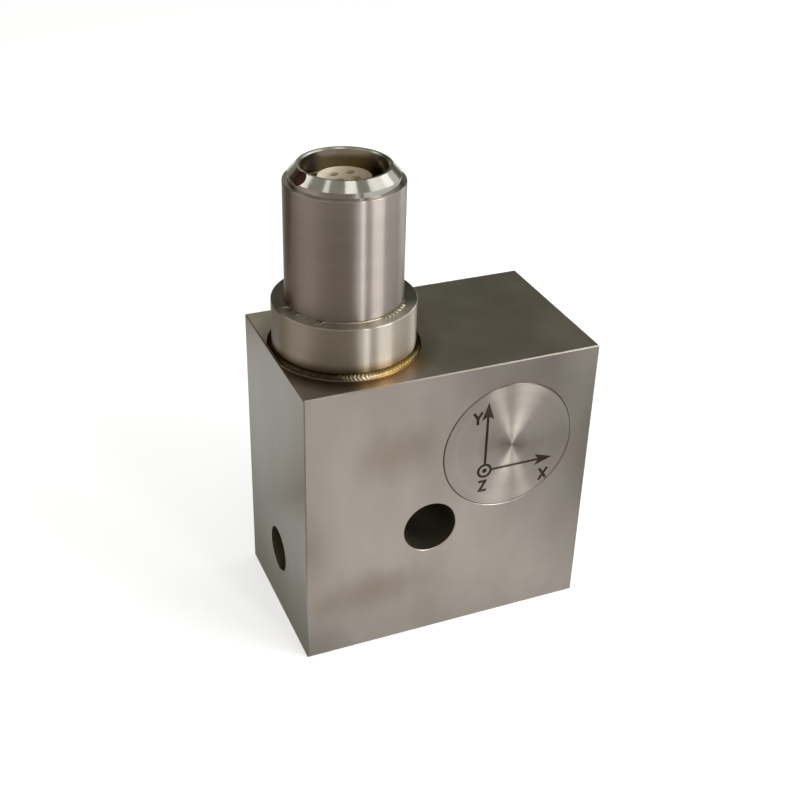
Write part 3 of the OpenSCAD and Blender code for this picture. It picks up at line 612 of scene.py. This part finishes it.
# arc-welded stainless bead, left as welded: smoky brown, rippled and straw gold where the torch dwelt
beadSet = {
    "leg": 0.64,  # mm on the block and on the collar
    "steps": 12,
    "turns": 1080,
    "ripplePitch": 0.42,  # mm between the crescents
    "rippleDepth": 0.1,  # mm
    "rippleBow": 0.35,  # mm, crescents bow forward in the middle of the bead
    "rippleCrest": 0.64,  # share of the ripple that lies below the bead's face
    "rippled": [(-108, -97, 1.2), (-97, -60, 0.35), (-60, -46, 1.0)],  # azimuths, strength
    "rippleSoft": 6,  # degrees
    "burnt": (138, 156),  # azimuths of the lumps where the torch stopped
    "burntSoft": 3,
    "lump": 0.3,  # mm
    "legShare": 0.93,  # of the leg, which leaves room for the crests
    "wander": 0.05,  # share of the leg that it swells and thins by
    "wanderScale": 3,
    "uneven": (0.9, 0.7, 2.1),  # ripples: mean, spread, scale per mm
    "valley": 0.8,  # share of the ripple that cuts into the leg
    "rise": 0.5,  # share of the ripple that stands out
    "lumpUneven": (0.6, 1.7),  # mean, scale per mm
    "lumpOut": 0.15,  # shares of the lump
    "lumpUp": 0.3,
    "inset": 0.02,  # mm into the collar
    "lift": 0.001,  # mm off the block
    "flatX": -17.38,  # the block's top ends here
    "sharpAngle": 60,
    "roughness": 0.32,
    # painted highlight along the bead's toe
    "toeColour": "#a89f8e",
    "toeTop": 0.14,  # mm
    "tones": [  # by azimuth
        (0.0, "#372e1f"), (0.17, "#30271a"), (0.205, "#5b5140"), (0.235, "#958a72"), (0.27, "#776138"),
        (0.34, "#826a3c"), (0.375, "#665a40"), (0.405, "#3a3529"), (0.86, "#3f3728"), (0.9, "#1f1a13"),
        (0.94, "#372e1f"),
    ],
}


def collarBead():
    s = beadSet
    mean, spread, scale = s["uneven"]
    lumpMean, lumpScale = s["lumpUneven"]
    points = []
    for i in range(s["turns"]):
        degrees = 360 * i / s["turns"] - 180
        a = math.radians(degrees)
        arc = a * collarR
        strong = max(
            beadTone(degrees, start, end, s["rippleSoft"]) * strength
            for start, end, strength in s["rippled"]
        )
        burn = beadTone(degrees, *s["burnt"], s["burntSoft"])
        wander = noise.noise(Vector((math.cos(a) * s["wanderScale"], math.sin(a) * s["wanderScale"], 1.3)))
        for k in range(s["steps"] + 1):
            t = math.pi / 2 * k / s["steps"]
            belly = math.sin(2 * t)
            phase = (arc + s["rippleBow"] * belly) / s["ripplePitch"] + wander
            uneven = mean + spread * noise.noise(Vector((arc * scale, t, 7.7)))
            crest = abs(math.sin(math.pi * phase)) - s["rippleCrest"]
            ripple = crest * s["rippleDepth"] * strong * belly * uneven
            lump = burn * s["lump"] * belly * (lumpMean + noise.noise(Vector((arc * lumpScale, t * 2, 4.1))))
            leg = s["leg"] * (s["legShare"] + s["wander"] * wander) + min(0.0, ripple) * s["valley"]
            r = collarR + leg * math.cos(t) + ripple * math.cos(t) * s["rise"] + lump * s["lumpOut"]
            z = leg * math.sin(t) + max(0.0, ripple) * s["rise"] + lump * s["lumpUp"]
            x = max(towerX + r * math.cos(a), s["flatX"])
            y = r * math.sin(a)
            over = math.hypot(x - towerX, y) - collarR - s["leg"]
            if over > 0:  # stay inside the CAD bead
                x -= over * math.cos(a)
                y -= over * math.sin(a)
            points.append((x * mm, y * mm, (blockTop + min(max(z, 0.0), s["leg"])) * mm))
        r = collarR - s["inset"]
        points.append(((towerX + r * math.cos(a)) * mm, r * math.sin(a) * mm, (blockTop + s["lift"]) * mm))
    return points, ringFaces(s["turns"], s["steps"] + 2)


toeTop = blockTop + beadSet["toeTop"]
collarBeadLook = weldMaterial("tigWeldBead", beadSet["tones"], beadSet["toeColour"], toeTop, beadSet["roughness"])
makePiece("rippledWeldBead", collarBead(), collarBeadLook, "collar_weld_bead", beadSet["sharpAngle"])

# light tack weld between sleeve and collar: a thin run, four tacks, a run of small lumps
tackSet = {
    "leg": 0.19,  # mm
    "thinFrom": -30,  # the run is thinner beyond these azimuths
    "thinTo": -116,
    "turns": 1440,
    "steps": 8,
    # azimuth, reach, half width and extra height in mm
    "tacks": [(-176, 0.75, 0.2, 0.1), (-158, 0.3, 0.3, 0.1), (-134.5, 0.8, 0.14, 0.06), (-131, 0.8, 0.14, 0.06)],
    "lumpsFrom": -72,
    "lumpsTo": -40,
    "lumpPitch": 0.6,
    "lumpReach": 0.3,
    "lumpRise": 0.05,
    "lumpSoft": 4,  # degrees
    "thinShare": 0.35,  # of the leg
    "thinSoft": 8,  # degrees
    "uneven": (0.9, 0.12, 1.3),  # mean, spread, scale per mm
    "outBend": 0.9,  # powers that hollow the run's face
    "upBend": 1.2,
    "inset": 0.01,  # mm into the sleeve
    "lift": 0.001,  # mm off the ledge
    "rimGap": 0.16,  # mm that stays free at the collar's edge
    "toeTop": 0.04,  # mm
    "sharpAngle": 60,
    "roughness": 0.4,
    "toeColour": "#8d8474",
    "tones": [(0.0, "#8a8170"), (0.2, "#7d7464"), (0.3, "#9d9484"), (0.45, "#8d8474"), (1.0, "#6f6758")],
}


def sleeveBead():
    s = tackSet
    mean, spread, scale = s["uneven"]
    points = []
    foot = sleeveR + towerSet["sleeveGap"]
    for i in range(s["turns"]):
        degrees = 360 * i / s["turns"] - 180
        a = math.radians(degrees)
        arc = a * foot
        full = s["thinShare"] + (1 - s["thinShare"]) * beadTone(degrees, s["thinTo"], s["thinFrom"], s["thinSoft"])
        reach = s["leg"] * full * (mean + spread * noise.noise(Vector((arc * scale, 0.4, 0))))
        rise = reach
        for where, out, halfWidth, up in s["tacks"]:
            away = math.radians((degrees - where + 180) % 360 - 180) * foot / halfWidth
            reach += out * math.exp(-away * away)
            rise += up * math.exp(-away * away)
        wave = math.sin(math.pi * arc / s["lumpPitch"] + noise.noise(Vector((arc, 2, 0))))
        lumps = beadTone(degrees, s["lumpsFrom"], s["lumpsTo"], s["lumpSoft"]) * abs(wave)
        reach = min(reach + s["lumpReach"] * lumps, collarR - foot - s["rimGap"])
        rise += s["lumpRise"] * lumps
        for k in range(s["steps"] + 1):
            t = math.pi / 2 * k / s["steps"]
            r = foot + reach * math.cos(t) ** s["outBend"]
            z = rise * math.sin(t) ** s["upBend"]
            points.append(((towerX + r * math.cos(a)) * mm, r * math.sin(a) * mm, (ledgeZ + z) * mm))
        r = foot - s["inset"]
        points.append(((towerX + r * math.cos(a)) * mm, r * math.sin(a) * mm, (ledgeZ + s["lift"]) * mm))
    return points, ringFaces(s["turns"], s["steps"] + 2)


toeTop = ledgeZ + tackSet["toeTop"]
tackLook = weldMaterial("tackWeld", tackSet["tones"], tackSet["toeColour"], toeTop, tackSet["roughness"])
makePiece("tackWeldRun", sleeveBead(), tackLook, "sleeve_weld_bead", tackSet["sharpAngle"])
print("weld beads made")


# polished stainless steel, turned and buffed: nearly a mirror, with faint lines round the nose
noseSet = {
    "colour": "#b1afa8",
    "hazeColour": "#a6a49c",
    # painted light and shade deep in the socket, by azimuth: lit at the back, shaded at the front and sides
    "deepTones": [
        (0.0, "#6a5f48"), (0.5, "#5f5239"), (0.57, "#6a5a38"), (0.64, "#cdb987"), (0.75, "#ddd1ad"),
        (0.84, "#ddd6c4"), (0.92, "#8a826e"), (0.97, "#6a5f48"),
    ],
    "deepFrom": 0.4,  # mm below the rim
    "deepTo": 1.8,
    "innerRadius": 4.98,  # mm
    "deepRoughness": 0.11,
    "hazeScale": 0.7,  # per mm
    "hazeRoughness": 0.08,
    "roughness": 0.12,
    "lineSpacing": 0.12,  # mm
    "lineDepth": 0.0003,  # mm
    "streak": 0.04,
}


def noseMaterial():
    s = noseSet
    material, tree, shader = newMaterial("buffedStainlessSteel", s["colour"], 1.0, s["roughness"])
    place = placeInMm(tree)
    x, y, z = add(tree, "SeparateXYZ", [place]).outputs
    drawn = add(tree, "VectorMath", [place, (s["streak"], s["streak"], 1)], operation="MULTIPLY")
    lines = add(tree, "TexNoise", {"Vector": drawn, "Scale": 1 / s["lineSpacing"], "Detail": 2.0})
    haze = add(tree, "TexNoise", {"Vector": place, "Scale": s["hazeScale"], "Detail": 3.0})
    toned = add(tree, "ValToRGB", [haze], [(0.3, s["hazeColour"]), (0.7, s["colour"])])
    deepRange = {"Value": z, "From Min": shellHigh.z - s["deepFrom"], "From Max": shellHigh.z - s["deepTo"]}
    deep = add(tree, "MapRange", deepRange)
    across = add(tree, "Math", [x, towerX], operation="SUBTRACT")
    radius = add(tree, "VectorMath", [add(tree, "CombineXYZ", [across, y])], operation="LENGTH").outputs["Value"]
    inner = add(tree, "Math", [radius, s["innerRadius"]], operation="LESS_THAN")
    both = add(tree, "Math", [deep, inner], operation="MULTIPLY")
    # painted light and shade deep in the socket
    deepLitAndShaded = add(tree, "ValToRGB", [azimuthShare(tree, across, y)], s["deepTones"])
    final = add(tree, "Mix", {0: both, 6: toned, 7: deepLitAndShaded}, data_type="RGBA").outputs[2]
    smoothest = s["roughness"] - s["hazeRoughness"] / 2
    even = add(tree, "Math", [haze, s["hazeRoughness"], smoothest], operation="MULTIPLY_ADD")
    rough = add(tree, "Math", [inner, s["deepRoughness"], even], operation="MULTIPLY_ADD")
    height = add(tree, "Math", [lines, s["lineDepth"]], operation="MULTIPLY")
    finish(tree, shader, final, rough.outputs[0], height)
    return material


dress("connector_shell", noseMaterial())
print("nose dressed")


# finishes of the small pieces, each with what it gives the eye:
# slot, dark and light tone, metallic, roughness, specular level, grain and relief in mm
grainRoughness = 0.12
finishes = {
    "mouldedInsulator": ("insert_plastic", "#a39474", "#cbbd9f", 0.0, 0.55, 0.5, 1.1, 0.006),  # matt, flux-stained
    "brushedRedEnamel": ("red_paint", "#2a0d04", "#4b1b0c", 0.0, 0.45, 0.15, 0.5, 0.01),  # dull dark red
    "goldPlatedBrass": ("contact_brass", "#b3a27e", "#c6b48e", 1.0, 0.55, 0.5, 0.4, 0.001),  # soft pale gold
    "nitrileRubber": ("seal_rubber", "#131313", "#1f1f1e", 0.0, 0.6, 0.5, 0.3, 0.003),  # dull black
    "castEpoxy": ("potting_resin", "#2b2418", "#3a301f", 0.0, 0.25, 0.5, 2.0, 0.01),  # glossy, amber black
    "lappedPiezoCeramic": ("piezo_ceramic", "#cfc6b0", "#ddd5c2", 0.0, 0.5, 0.5, 0.15, 0.002),  # matt cream
    "groundTungstenAlloy": ("tungsten_alloy", "#66666a", "#7c7c80", 1.0, 0.42, 0.5, 0.12, 0.002),  # dark satin grey
    "coldHeadedScrewSteel": ("screw_steel", "#b9b7b2", "#cbc9c4", 1.0, 0.25, 0.5, 0.3, 0.001),  # smooth and bright
    "boardLaminate": ("board_laminate", "#17502a", "#1f6537", 0.0, 0.35, 0.5, 0.5, 0.004),  # green gloss
    "firedCapacitorCeramic": ("capacitor_ceramic", "#b39a78", "#c4ac8a", 0.0, 0.45, 0.5, 0.1, 0.001),  # matt tan
    "mouldedEpoxy": ("chip_plastic", "#1c1c1e", "#29292b", 0.0, 0.55, 0.5, 0.08, 0.003),  # matt black
    "redInsulation": ("lead_red", "#a31c14", "#b82a1e", 0.0, 0.4, 0.5, 0.8, 0.002),  # satin
    "greenInsulation": ("lead_green", "#1d7a35", "#278a40", 0.0, 0.4, 0.5, 0.8, 0.002),  # satin
    "blueInsulation": ("lead_blue", "#1c3f94", "#2650a8", 0.0, 0.4, 0.5, 0.8, 0.002),  # satin
    "whiteInsulation": ("lead_white", "#d2d0c8", "#e2e0d8", 0.0, 0.4, 0.5, 0.8, 0.002),  # satin
}
lookOfSlot = {}
for name, (slot, dark, light, metallic, roughness, specular, grainSize, relief) in finishes.items():
    material, tree, shader = newMaterial(name, light, metallic, roughness, Specular_IOR_Level=specular)
    grain = add(
        tree, "TexNoise", {"Vector": placeInMm(tree), "Scale": 1 / grainSize, "Detail": 4.0, "Roughness": 0.6},
    )
    tone = add(tree, "ValToRGB", [grain], [(0.35, dark), (0.65, light)])
    rough = add(tree, "Math", [grain, grainRoughness, roughness - grainRoughness / 2], operation="MULTIPLY_ADD")
    height = add(tree, "Math", [grain, relief], operation="MULTIPLY")
    finish(tree, shader, tone.outputs[0], rough.outputs[0], height)
    lookOfSlot[slot] = material
for part in frame["record"]["subparts"]:
    if part["material_slot"] in lookOfSlot:
        dress(part["node"], lookOfSlot[part["material_slot"]])


# moulded insulator: pale at the back left, brown towards the front right
insertSet = {
    "tones": [(0.0, "#7d6f54"), (0.45, "#968a73"), (0.72, "#b3a78f"), (0.9, "#ddd2bd")],
    "paleTowards": (-0.8, 0.6, 0),
    "radius": 2.6,  # mm
    "wander": 0.3,
    "grain": 1.1,  # mm
    "relief": 0.006,  # mm
    "roughness": 0.55,
}


def insertMaterial():
    s = insertSet
    material, tree, shader = newMaterial("stainedInsulator", s["tones"][1][1], 0.0, s["roughness"])
    place = placeInMm(tree)
    grain = add(tree, "TexNoise", {"Vector": place, "Scale": 1 / s["grain"], "Detail": 4.0, "Roughness": 0.6})
    offset = add(tree, "VectorMath", [place, (towerX, 0, 0)], operation="SUBTRACT")
    along = add(tree, "VectorMath", [offset, s["paleTowards"]], operation="DOT_PRODUCT").outputs["Value"]
    share = add(tree, "MapRange", {"Value": along, "From Min": -s["radius"], "From Max": s["radius"]})
    start = add(tree, "Math", [share, -s["wander"] / 2])
    moved = add(tree, "Math", [grain, s["wander"], start], operation="MULTIPLY_ADD")
    tone = add(tree, "ValToRGB", [moved], s["tones"])
    rough = add(
        tree, "Math", [grain, grainRoughness, s["roughness"] - grainRoughness / 2], operation="MULTIPLY_ADD",
    )
    height = add(tree, "Math", [grain, s["relief"]], operation="MULTIPLY")
    finish(tree, shader, tone.outputs[0], rough.outputs[0], height)
    return material


dress("connector_insert", insertMaterial())
print("small pieces dressed")


# studio
studio = {
    "floorColour": "#cbcbca",
    "floorRoughness": 0.9,
    "floorLift": 0.54,  # what the floor adds for the camera, to come out white
    "floorReach": 3,  # m each way
    "floorDrop": 0.02,  # mm below the block
    "worldFill": 0.62,
    # painted shadow and shade on the floor that only reflections see, first to the left of the block
    "leftReach": 24,  # mm
    "leftTones": [
        (0.0, "#90928b"), (0.1, "#9a9d96"), (0.16, "#a8ada8"), (0.28, "#c9d0ce"), (0.42, "#dbe2e0"),
        (0.75, "#e6ecea"),
    ],
    # straight in front of the block
    "nearReach": 15,
    "nearTones": [(0.0, 0.84), (0.5, 0.96), (1.0, 1.06)],
    # round its front left foot
    "footReach": 12,
    "footTones": [(0.0, 0.5), (0.4, 0.7), (0.62, 0.92), (0.8, 1.06)],
    # in front, from the middle to the right
    "rightFrom": 8,
    "rightTo": 62,
    "rightTones": [
        (0.0, 1.06), (0.08, 0.98), (0.17, 0.86), (0.32, 0.68), (0.46, 0.48), (0.6, 0.32), (0.76, 0.32), (1.0, 1.0),
    ],
    "rightEdge": (-12, -26),  # mm towards the camera, from none to full
    "lampAim": 45,  # mm above the floor, on the tower's axis
    # lamps: azimuth, elevation, distance, width and height in m, brightness where 1 is white
    "lamps": [
        (-76.8, 18, 0.34, 0.043, 0.24, 8.2),
        (-47.6, 18, 0.34, 0.147, 0.24, 5.9),
        (147, 43, 0.30, 0.06, 0.07, 1.25),
        (-164, 58, 0.30, 0.035, 0.07, 1.15),
        (-89, 67, 0.30, 0.085, 0.06, 1.6),
        (-12, 42, 0.30, 0.22, 0.16, 1.2),
        (14, 4, 0.34, 0.11, 0.10, 2.0),
    ],
    "sheetSteps": 60,
    # glowing sheets that only reflections see, painting reflections and the shade in them: outline of radius and
    # height in m, then tones by azimuth in degrees
    "sheets": {
        "backSheet": ([(0.34, 0.04), (0.34, 0.31)], [
            (26, "#a9a999"), (34, "#6d6e5e"), (46, "#7c7d6f"), (55, "#73746a"), (61, "#606357"), (67, "#606354"),
            (70, "#7d7e6c"), (75, "#c8c8ba"), (86, "#d4d4c6"), (96, "#a09e92"), (106, "#4a453b"), (130, "#3d382f"),
            (138, "#77736a"),
        ]),
        "leftSheet": ([(0.026, 0.0004), (0.062, 0.0004), (0.062, 0.06)], [
            (131, "#7a6653"), (142, "#877765"), (150, "#a89d90"), (164, "#c2b8ae"), (180, "#cfc5bc"),
            (192, "#cbc1b8"), (204, "#b3a99e"), (216, "#a59a8f"), (227, "#a0958a"), (243, "#9d9287"),
            (255, "#9c9186"), (262, "#a69b90"), (270, "#cfc7be"),
        ]),
        "farLeftSheet": (
            [(0.076, 0.0004), (0.11, 0.0004), (0.11, 0.08)],
            [(100, "#a39a90"), (113, "#958b80"), (122, "#7a6653"), (131, "#7a6653")],
        ),
        "ceilingSheet": (
            [(0.5, 0.44), (0.34, 0.60), (0.12, 0.70), (0.0, 0.71)], [(0, "#b4b3a6"), (360, "#b4b3a6")],
        ),
    },
}


def floorMaterial():
    s = studio
    material, tree, shader = newMaterial("palePaper", s["floorColour"], 0.0, s["floorRoughness"])
    path = add(tree, "LightPath").outputs
    seen = add(tree, "Math", [path["Is Camera Ray"], path["Is Transmission Ray"]], operation="MAXIMUM")
    tree.links.new(
        add(tree, "Math", [seen, s["floorLift"]], operation="MULTIPLY").outputs[0],
        shader.inputs["Emission Strength"],
    )
    shader.inputs["Emission Color"].default_value = (1, 1, 1, 1)
    place = placeInMm(tree)
    # painted shadow round the block and painted shade in front, seen only by glossy rays
    x, y, z = add(tree, "SeparateXYZ", [place]).outputs
    beside = add(tree, "MapRange", {"Value": x, "From Min": blockLow.x, "From Max": blockLow.x - s["leftReach"]})
    left = add(tree, "ValToRGB", [beside], s["leftTones"])
    foot = add(tree, "VectorMath", [place, (blockLow.x, blockLow.y, 0)], operation="DISTANCE").outputs["Value"]
    atFoot = add(tree, "ValToRGB", [add(tree, "Math", [foot, s["footReach"]], operation="DIVIDE")], s["footTones"])
    rightward = add(tree, "MapRange", {"Value": x, "From Min": s["rightFrom"], "From Max": s["rightTo"]})
    right = add(tree, "ValToRGB", [rightward], s["rightTones"])
    ahead = add(tree, "MapRange", {"Value": y, "From Min": s["rightEdge"][1], "From Max": s["rightEdge"][0]})
    front = add(tree, "Math", [add(tree, "Math", [right, ahead], operation="MAXIMUM"), atFoot], operation="MINIMUM")
    near = add(tree, "MapRange", {"Value": y, "From Min": blockLow.y, "From Max": blockLow.y - s["nearReach"]})
    front = add(tree, "Math", [front, add(tree, "ValToRGB", [near], s["nearTones"])], operation="MINIMUM")
    isLeft = add(tree, "Math", [x, blockLow.x], operation="LESS_THAN")
    tone = add(tree, "Mix", {0: isLeft, 6: front, 7: left}, data_type="RGBA").outputs[2]
    glow = add(tree, "Emission", {"Color": tone, "Strength": 1.0})
    both = add(tree, "MixShader", [path["Is Glossy Ray"], shader, glow])
    tree.links.new(both.outputs[0], tree.nodes["Material Output"].inputs["Surface"])
    return material


far = studio["floorReach"]
floor = makeMesh(
    "paleFloor", [(-far, -far, 0), (far, -far, 0), (far, far, 0), (-far, far, 0)], [(0, 1, 2, 3)], floorMaterial(),
)
floor.location.z = -studio["floorDrop"] * mm

world = bpy.data.worlds.new("softStudio")
bpy.context.scene.world = world
world.use_nodes = True
path = add(world.node_tree, "LightPath").outputs
seen = add(world.node_tree, "Math", [path["Is Camera Ray"], path["Is Glossy Ray"]], operation="MAXIMUM")
seen = add(world.node_tree, "Math", [seen, path["Is Transmission Ray"]], operation="MAXIMUM")
strength = add(world.node_tree, "MapRange", {"Value": seen, "To Min": studio["worldFill"], "To Max": 1.0})
background = world.node_tree.nodes["Background"]
background.inputs["Color"].default_value = (1, 1, 1, 1)
world.node_tree.links.new(strength.outputs[0], background.inputs["Strength"])

towerMiddle = Vector((towerX, 0, studio["lampAim"])) * mm
for i, (azimuth, elevation, distance, width, height, brightness) in enumerate(studio["lamps"]):
    lamp = bpy.data.lights.new(f"softLamp{i + 1}", "AREA")
    lamp.shape = "RECTANGLE"
    lamp.size, lamp.size_y = width, height
    lamp.energy = brightness * math.pi * width * height
    a, e = math.radians(azimuth), math.radians(elevation)
    away = Vector((math.cos(a) * math.cos(e), math.sin(a) * math.cos(e), math.sin(e)))
    holder = bpy.data.objects.new(lamp.name, lamp)
    holder.location = towerMiddle + away * distance
    holder.rotation_euler = away.to_track_quat("Z", "Y").to_euler()
    bpy.context.scene.collection.objects.link(holder)


# painted reflections and shade, seen only by glossy rays
for name, (outline, tones) in studio["sheets"].items():
    material = bpy.data.materials.new(name)
    material.use_nodes = True
    tree = material.node_tree
    tree.nodes.remove(tree.nodes["Principled BSDF"])
    start, end = tones[0][0], tones[-1][0]
    along = add(tree, "SeparateXYZ", [add(tree, "TexCoord").outputs["UV"]]).outputs[0]
    stops = [((azimuth - start) / (end - start), hexColour) for azimuth, hexColour in tones]
    tone = add(tree, "ValToRGB", [along], stops)
    glow = add(tree, "Emission", {"Color": tone, "Strength": 1.0})
    tree.links.new(glow.outputs[0], tree.nodes["Material Output"].inputs["Surface"])
    steps, n = studio["sheetSteps"], len(outline)
    points = []
    for i in range(steps + 1):
        a = math.radians(start + (end - start) * i / steps)
        points += [(towerX * mm + r * math.cos(a), r * math.sin(a), z) for r, z in outline]
    faces = [
        (i * n + k, (i + 1) * n + k, (i + 1) * n + k + 1, i * n + k + 1)
        for i in range(steps) for k in range(n - 1)
    ]
    sheet = makeMesh(name, points, faces, material)
    layer = sheet.data.uv_layers.new(name="around")
    for loop in sheet.data.loops:
        layer.data[loop.index].uv = (loop.vertex_index // n / steps, 0)
    sheet.visible_camera = sheet.visible_diffuse = sheet.visible_shadow = False
    sheet.visible_transmission = sheet.visible_volume_scatter = False
print("studio set")
